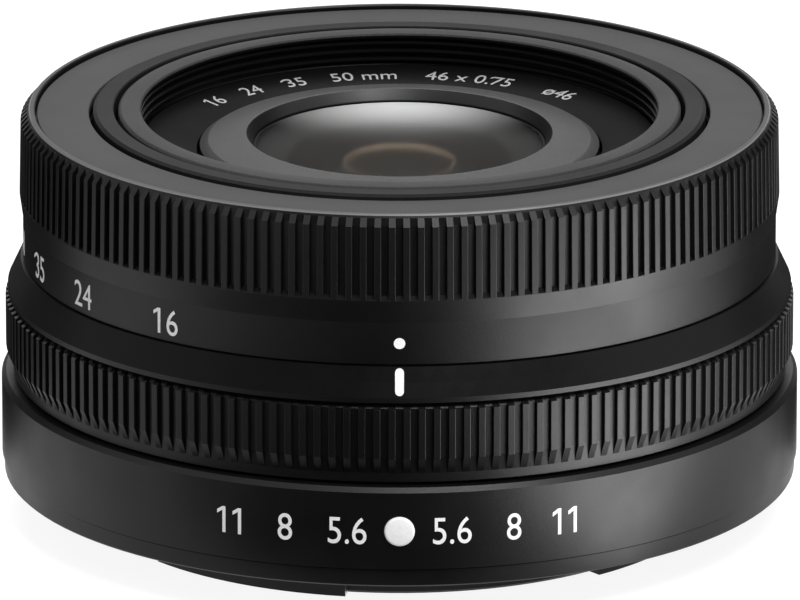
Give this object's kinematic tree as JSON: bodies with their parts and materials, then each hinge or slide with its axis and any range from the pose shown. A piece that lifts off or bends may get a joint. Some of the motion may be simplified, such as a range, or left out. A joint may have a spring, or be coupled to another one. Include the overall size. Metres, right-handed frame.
{
  "type": "camera zoom lens",
  "caption": "Flat retractable camera zoom lens with ribbed zoom and control rings, telescoping barrels driven by a cam barrel, a leaf iris, a stabiliser and a bayonet mount.",
  "frame": {"origin": "centre of the mount flange's rear face, on the optical axis", "axes": "+Z along the optical axis towards the subject, -Y towards the mounting bead and the viewer of the picture"},
  "size_m": [0.07, 0.0703, 0.0363],
  "materials": {
    "satin_black": "satin",
    "plate_grey": "fine matt",
    "bead_white": "gloss",
    "inner_black": "matt",
    "glass": "polished, coated",
    "cam_metal": "anodised",
    "steel": "bright",
    "brass": "bright",
    "blade_black": "matt",
    "board_green": "lacquered"
  },
  "bodies": {
    "body": {"mount_ring": "satin_black", "mount_screws": "steel", "rear_frame": "inner_black", "rear_element": "glass", "rear_baffle": "inner_black", "contact_block": "inner_black", "contact_pins": "brass", "base_barrel": "satin_black", "mounting_bead": "bead_white", "main_board": "board_green", "board_chips": "inner_black", "guide_barrel": "satin_black", "ring_sensor": "inner_black", "focus_motor": "steel", "guide_rods": "steel"},
    "control": {"control_ring": "satin_black", "code_ring": "inner_black"},
    "zoom": {"zoom_ring": "satin_black", "front_plate": "plate_grey", "cam_barrel": "cam_metal", "cam_screws": "steel"},
    "intermediate": {"intermediate_barrel": "satin_black", "intermediate_pins": "brass", "unit_housing": "inner_black", "middle_element": "glass", "iris_motor": "steel", "iris_base": "inner_black", "iris_cover": "inner_black", "stabiliser_base": "inner_black", "stabiliser_coils": "brass"},
    "front": {"front_barrel": "satin_black", "front_pins": "brass", "name_ring": "satin_black", "front_collar": "satin_black", "front_cell": "inner_black", "front_element": "glass", "first_spacer": "inner_black", "second_element": "glass", "second_spacer": "inner_black", "third_element": "glass"},
    "focus": {"focus_carrier": "inner_black", "focus_element": "glass"},
    "lead_screw": {"lead_screw": "brass"},
    "iris_ring": {"iris_ring": "inner_black"},
    "shift_guide": {"shift_guide": "cam_metal"},
    "shift_cell": {"shift_cell": "inner_black", "shift_element": "glass", "shift_magnets": "steel"},
    "blade_1": {"iris_blade_1": "blade_black"},
    "blade_2": {"iris_blade_2": "blade_black"},
    "blade_3": {"iris_blade_3": "blade_black"},
    "blade_4": {"iris_blade_4": "blade_black"},
    "blade_5": {"iris_blade_5": "blade_black"},
    "blade_6": {"iris_blade_6": "blade_black"},
    "blade_7": {"iris_blade_7": "blade_black"}
  },
  "joints": [
    {"name": "zoom_turn", "type": "hinge", "parent": "body", "child": "zoom", "pos_m": [0, 0, 0.026], "axis": [0, 0, 1], "range_deg": [0, 85]},
    {"name": "intermediate_slide", "type": "slide", "parent": "body", "child": "intermediate", "axis": [0, 0, 1], "range_m": [0, 0.01]},
    {"name": "front_slide", "type": "slide", "parent": "intermediate", "child": "front", "axis": [0, 0, 1], "range_m": [0, 0.01]},
    {"name": "control_turn", "type": "hinge", "parent": "body", "child": "control", "pos_m": [0, 0, 0.013], "axis": [0, 0, 1], "continuous": true},
    {"name": "focus_slide", "type": "slide", "parent": "body", "child": "focus", "axis": [0, 0, 1], "range_m": [0, 0.0016]},
    {"name": "screw_turn", "type": "hinge", "parent": "body", "child": "lead_screw", "pos_m": [0, 0.018, 0.003], "axis": [0, 0, 1], "range_deg": [0, 720.5]},
    {"name": "iris_turn", "type": "hinge", "parent": "intermediate", "child": "iris_ring", "pos_m": [0, 0, 0.0177], "axis": [0, 0, 1], "range_deg": [0, 5.98]},
    {"name": "blade_1_swing", "type": "hinge", "parent": "intermediate", "child": "blade_1", "pos_m": [0.0108, 0, 0.0163], "axis": [0, 0, 1], "range_deg": [0, 28.1]},
    {"name": "blade_2_swing", "type": "hinge", "parent": "intermediate", "child": "blade_2", "pos_m": [0.00673, 0.00844, 0.0163], "axis": [0, 0, 1], "range_deg": [0, 28.1]},
    {"name": "blade_3_swing", "type": "hinge", "parent": "intermediate", "child": "blade_3", "pos_m": [-0.0024, 0.01053, 0.0163], "axis": [0, 0, 1], "range_deg": [0, 28.1]},
    {"name": "blade_4_swing", "type": "hinge", "parent": "intermediate", "child": "blade_4", "pos_m": [-0.00973, 0.00469, 0.0163], "axis": [0, 0, 1], "range_deg": [0, 28.1]},
    {"name": "blade_5_swing", "type": "hinge", "parent": "intermediate", "child": "blade_5", "pos_m": [-0.00973, -0.00469, 0.0163], "axis": [0, 0, 1], "range_deg": [0, 28.1]},
    {"name": "blade_6_swing", "type": "hinge", "parent": "intermediate", "child": "blade_6", "pos_m": [-0.0024, -0.01053, 0.0163], "axis": [0, 0, 1], "range_deg": [0, 28.1]},
    {"name": "blade_7_swing", "type": "hinge", "parent": "intermediate", "child": "blade_7", "pos_m": [0.00673, -0.00844, 0.0163], "axis": [0, 0, 1], "range_deg": [0, 28.1]},
    {"name": "stabiliser_x", "type": "slide", "parent": "intermediate", "child": "shift_guide", "axis": [1, 0, 0], "range_m": [-0.0004, 0.0004]},
    {"name": "stabiliser_y", "type": "slide", "parent": "shift_guide", "child": "shift_cell", "axis": [0, 1, 0], "range_m": [-0.0004, 0.0004]}
  ],
  "couplings": [
    {"joint": "intermediate_slide", "follows": "zoom_turn", "m_per_rad": 0.0067406},
    {"joint": "front_slide", "follows": "zoom_turn", "m_per_rad": 0.0067406},
    {"joint": "screw_turn", "follows": "focus_slide", "rad_per_m": 7854},
    {"joint": "blade_1_swing", "follows": "iris_turn", "ratio": 4.6835},
    {"joint": "blade_2_swing", "follows": "iris_turn", "ratio": 4.6835},
    {"joint": "blade_3_swing", "follows": "iris_turn", "ratio": 4.6835},
    {"joint": "blade_4_swing", "follows": "iris_turn", "ratio": 4.6835},
    {"joint": "blade_5_swing", "follows": "iris_turn", "ratio": 4.6835},
    {"joint": "blade_6_swing", "follows": "iris_turn", "ratio": 4.6835},
    {"joint": "blade_7_swing", "follows": "iris_turn", "ratio": 4.6835}
  ]
}
